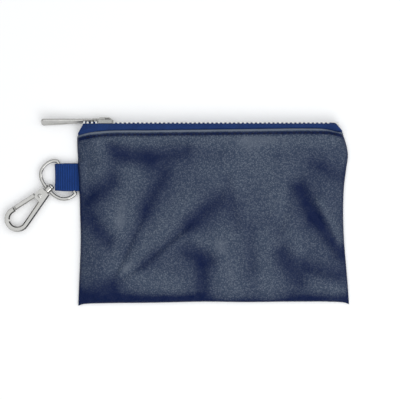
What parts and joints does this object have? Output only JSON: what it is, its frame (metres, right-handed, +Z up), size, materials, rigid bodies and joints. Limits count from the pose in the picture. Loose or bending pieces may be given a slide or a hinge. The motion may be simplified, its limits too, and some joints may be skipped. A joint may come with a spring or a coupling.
{
  "type": "cash deposit bag",
  "caption": "Flat zipped pouch for cash deposits, coated sheet with a closed zip, long puller and a swivel clasp on a side webbing tab.",
  "frame": {"origin": "middle of the flat back of the pouch, on the surface that it lies on", "axes": "+X along the zip, from the slider's closed end to the bottom stop; +Y in the plane of the pouch, towards the zip; +Z up, out of the front panel"},
  "size_m": [0.229, 0.1243, 0.0113],
  "materials": {
    "coated_sheet": "navy coated sheet with a fine grain, satin",
    "thread": "dark navy thread",
    "zip_tape": "woven royal blue tape",
    "zip_metal": "bright nickel",
    "plated_metal": "satin nickel plate",
    "spring_steel": "plain spring steel",
    "webbing": "ribbed royal blue webbing",
    "clasp_metal": "polished nickel plate"
  },
  "bodies": {
    "pouch": {"back_panel": "coated_sheet", "front_panel": "coated_sheet", "front_topstitch": "thread", "back_topstitch": "thread", "front_tape": "zip_tape", "back_tape": "zip_tape", "front_teeth": "zip_metal", "back_teeth": "zip_metal", "top_stops": "zip_metal", "bottom_stop": "zip_metal", "webbing_tab": "webbing", "tab_stitches": "thread"},
    "slider": {"slider_body": "plated_metal", "slider_crown": "plated_metal", "lock_spring": "spring_steel"},
    "puller": {"puller": "plated_metal"},
    "clasp_eye": {"clasp_eye": "clasp_metal"},
    "hook": {"hook_body": "clasp_metal", "swivel_stud": "clasp_metal", "gate_rivet": "clasp_metal", "gate_spring": "spring_steel"},
    "gate": {"gate": "clasp_metal"}
  },
  "joints": [
    {"name": "slider_travel", "type": "slide", "parent": "pouch", "child": "slider", "axis": [1, 0, 0], "range_m": [-0.004, 0.145], "deforming": ["front_teeth", "back_teeth"]},
    {"name": "puller_hinge", "type": "hinge", "parent": "slider", "child": "puller", "pos_m": [-0.073, 0.06226, 0.00338], "axis": [0, -0.4226, -0.9063], "range_deg": [0, 180]},
    {"name": "eye_hinge", "type": "hinge", "parent": "pouch", "child": "clasp_eye", "pos_m": [-0.0982, 0.0244, 0.0027], "axis": [-0.4848, 0.8746, 0], "range_deg": [-100, 100]},
    {"name": "hook_swivel", "type": "hinge", "parent": "clasp_eye", "child": "hook", "pos_m": [-0.1102, 0.0164, 0.0027], "axis": [-0.7193, -0.6947, 0], "continuous": true},
    {"name": "gate_hinge", "type": "hinge", "parent": "hook", "child": "gate", "pos_m": [-0.11579, 0.01211, 0.0027], "axis": [0, 0, 1], "range_deg": [0, 27], "stiffness_Nm_per_rad": 0.02, "springref_deg": -20.05}
  ]
}
